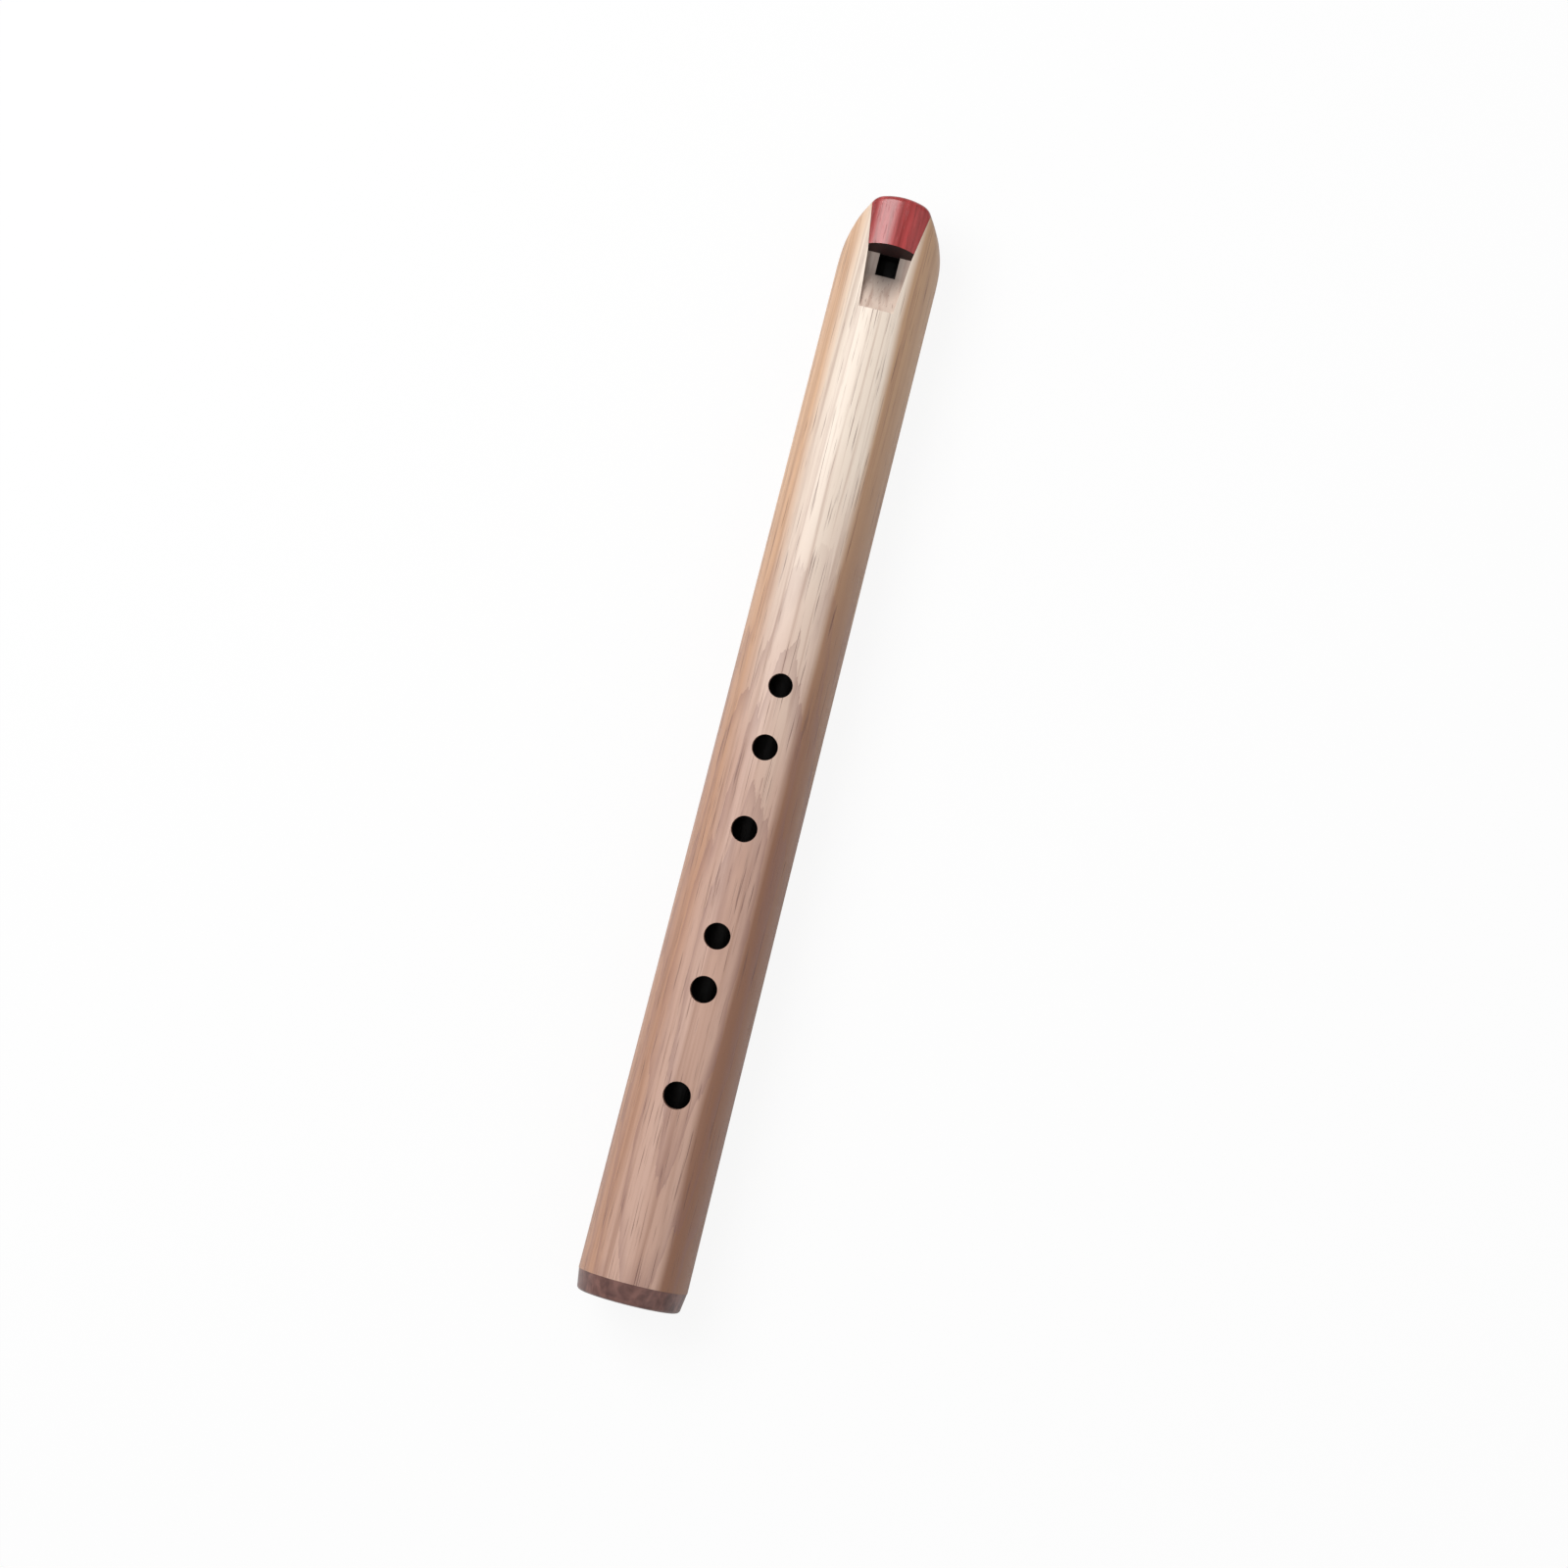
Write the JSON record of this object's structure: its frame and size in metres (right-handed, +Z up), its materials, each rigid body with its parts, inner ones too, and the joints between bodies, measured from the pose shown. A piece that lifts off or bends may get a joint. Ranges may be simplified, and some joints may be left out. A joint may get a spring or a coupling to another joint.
{
  "type": "wooden whistle flute",
  "caption": "Small wooden fipple flute with a beak, an inlaid windway block, a square window with ramp, finger holes on top and a dark foot ring.",
  "frame": {"origin": "centre of the bounding box at its lowest level, where the flute lies on its underside", "axes": "+X along the bore towards the mouth end, +Z up through the finger holes, +Y across"},
  "size_m": [0.278, 0.0276, 0.0275],
  "materials": {
    "body_wood": "satin oiled",
    "block_wood": "polished",
    "ring_wood": "satin oiled"
  },
  "bodies": {
    "root": {"flute_body": "body_wood", "windway_block": "block_wood", "foot_ring": "ring_wood"}
  },
  "joints": []
}
